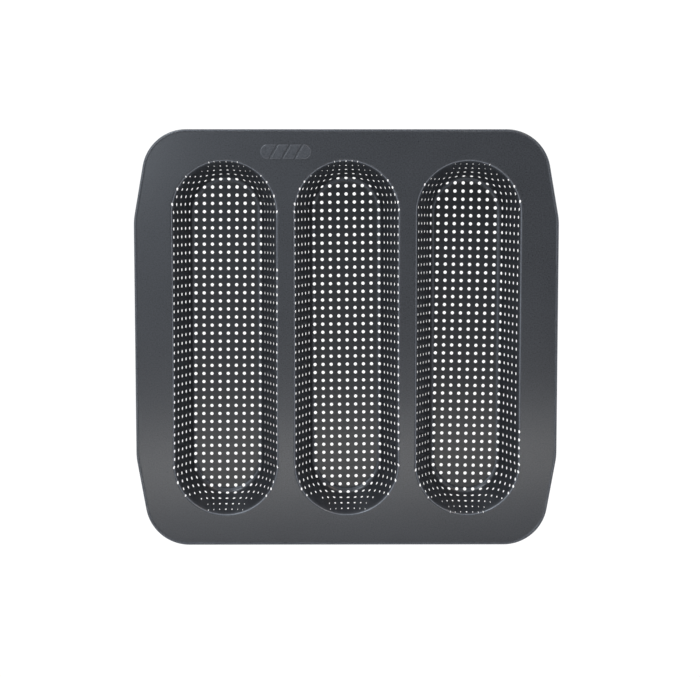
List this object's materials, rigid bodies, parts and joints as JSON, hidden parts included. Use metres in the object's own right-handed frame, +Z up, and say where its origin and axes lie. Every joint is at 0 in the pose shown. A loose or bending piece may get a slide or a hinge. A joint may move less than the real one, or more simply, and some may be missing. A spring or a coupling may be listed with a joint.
{
  "type": "baguette tray",
  "caption": "Pressed sheet-metal baguette tray: long half-round-ended perforated troughs in a flat deck with large corner radii, flared side grips and a thin rolled rim.",
  "frame": {"origin": "on the surface that the tray stands on, under the middle of its outline", "axes": "+X across the troughs, towards one flared side; +Y along the troughs, towards the edge with the raised mark; +Z up, out of the troughs"},
  "size_m": [0.3068, 0.3028, 0.0295],
  "materials": {
    "coated_sheet": "satin",
    "rim_wire_steel": "drawn"
  },
  "bodies": {
    "root": {"deck_plate": "coated_sheet", "rolled_rim": "coated_sheet", "rim_wire": "rim_wire_steel", "trough_left_floor": "coated_sheet", "trough_left_side_walls": "coated_sheet", "trough_left_end_walls": "coated_sheet", "trough_middle_floor": "coated_sheet", "trough_middle_side_walls": "coated_sheet", "trough_middle_end_walls": "coated_sheet", "trough_right_floor": "coated_sheet", "trough_right_side_walls": "coated_sheet", "trough_right_end_walls": "coated_sheet"}
  },
  "joints": []
}
